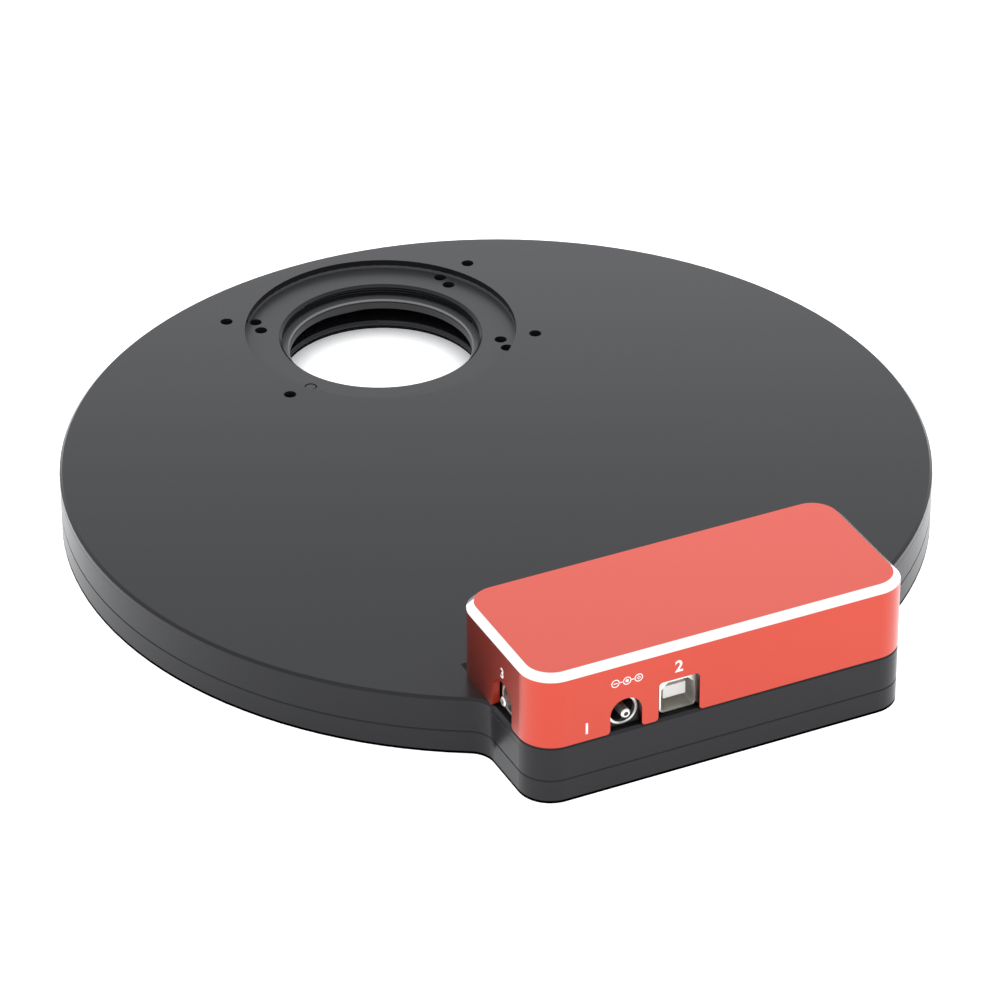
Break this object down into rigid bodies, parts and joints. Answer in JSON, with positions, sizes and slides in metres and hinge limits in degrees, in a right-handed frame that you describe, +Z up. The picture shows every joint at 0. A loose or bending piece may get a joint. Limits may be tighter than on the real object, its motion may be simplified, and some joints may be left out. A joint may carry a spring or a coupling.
{
  "type": "motorised optical filter wheel",
  "caption": "Flat round motorised filter wheel with a threaded light port on both faces, a toothed filter carousel inside and a red control box with USB and power sockets.",
  "frame": {"origin": "where the carousel's axis meets the flat bottom face", "axes": "+Z up, from the camera side to the telescope side; +Y from the carousel's axis to the light path; the control box lies towards -Y"},
  "size_m": [0.225, 0.2389, 0.0365],
  "materials": {
    "black_anodised": "fine bead-blasted matte black anodised aluminium",
    "black_anodised_inner": "matte black anodised, non-reflective",
    "red_anodised": "satin red anodised aluminium with a bright diamond-cut chamfer",
    "black_steel": "black oxide steel",
    "steel": "turned stainless steel",
    "bearing_steel": "ground and polished bearing steel",
    "brass": "machined brass",
    "nickel": "nickel plated",
    "gold": "gold plated contact",
    "motor_steel": "zinc plated pressed steel",
    "board_green": "solder mask over glass-epoxy board",
    "black_plastic": "moulded black plastic",
    "white_plastic": "moulded white plastic",
    "lead_grey": "flat ribbon lead",
    "capacitor_aluminium": "drawn aluminium can",
    "glass_clear": "coated clear optical glass",
    "glass_red": "coated red optical glass",
    "glass_green": "coated green optical glass",
    "glass_blue": "coated blue optical glass",
    "glass_deep_red": "coated deep red optical glass",
    "glass_teal": "coated teal optical glass"
  },
  "bodies": {
    "housing": {"lower_housing": "black_anodised", "upper_housing": "black_anodised", "housing_screws": "black_steel", "dowel_pins": "steel", "hub_axle": "steel", "axle_screws": "black_steel", "axle_cap": "steel", "axle_cap_screw": "steel", "bearing_inner_ring": "bearing_steel", "motor_case": "motor_steel", "motor_flange": "motor_steel", "motor_screws": "steel", "control_cover": "red_anodised", "cover_screws": "black_steel", "circuit_board": "board_green", "board_screws": "steel", "controller_chip": "black_plastic", "motor_driver_chip": "black_plastic", "capacitors": "capacitor_aluminium", "crystal": "nickel", "motor_header": "white_plastic", "motor_plug": "white_plastic", "motor_lead": "lead_grey", "position_sensors": "black_plastic", "power_input_body": "black_plastic", "power_input_rim": "nickel", "power_input_pin": "nickel", "power_input_contact": "gold", "power_output_body": "black_plastic", "power_output_rim": "nickel", "power_output_pin": "nickel", "power_output_contact": "gold", "usb_shell": "nickel", "usb_insert": "white_plastic", "usb_contacts": "gold"},
    "carousel": {"filter_carousel": "black_anodised_inner", "index_magnets": "nickel", "filter_rings": "black_anodised_inner", "filter_glass_clear": "glass_clear", "filter_glass_red": "glass_red", "filter_glass_green": "glass_green", "filter_glass_blue": "glass_blue", "filter_glass_deep_red": "glass_deep_red", "filter_glass_teal": "glass_teal", "bearing_outer_ring": "bearing_steel", "bearing_retainer": "black_anodised_inner"},
    "bearing_balls_and_cage": {"bearing_balls": "bearing_steel", "bearing_cage": "brass"},
    "pinion": {"motor_shaft": "steel", "drive_pinion": "brass", "pinion_set_screw": "black_steel"}
  },
  "joints": [
    {"name": "carousel_spin", "type": "hinge", "parent": "housing", "child": "carousel", "pos_m": [0, 0, 0.008], "axis": [0, 0, 1], "continuous": true},
    {"name": "bearing_cage_spin", "type": "hinge", "parent": "housing", "child": "bearing_balls_and_cage", "pos_m": [0, 0, 0.0075], "axis": [0, 0, 1], "continuous": true},
    {"name": "pinion_spin", "type": "hinge", "parent": "housing", "child": "pinion", "pos_m": [0.024, -0.10612, 0.008], "axis": [0, 0, 1], "continuous": true}
  ],
  "couplings": [
    {"joint": "pinion_spin", "follows": "carousel_spin", "ratio": -13.5},
    {"joint": "bearing_cage_spin", "follows": "carousel_spin", "ratio": 0.55}
  ]
}
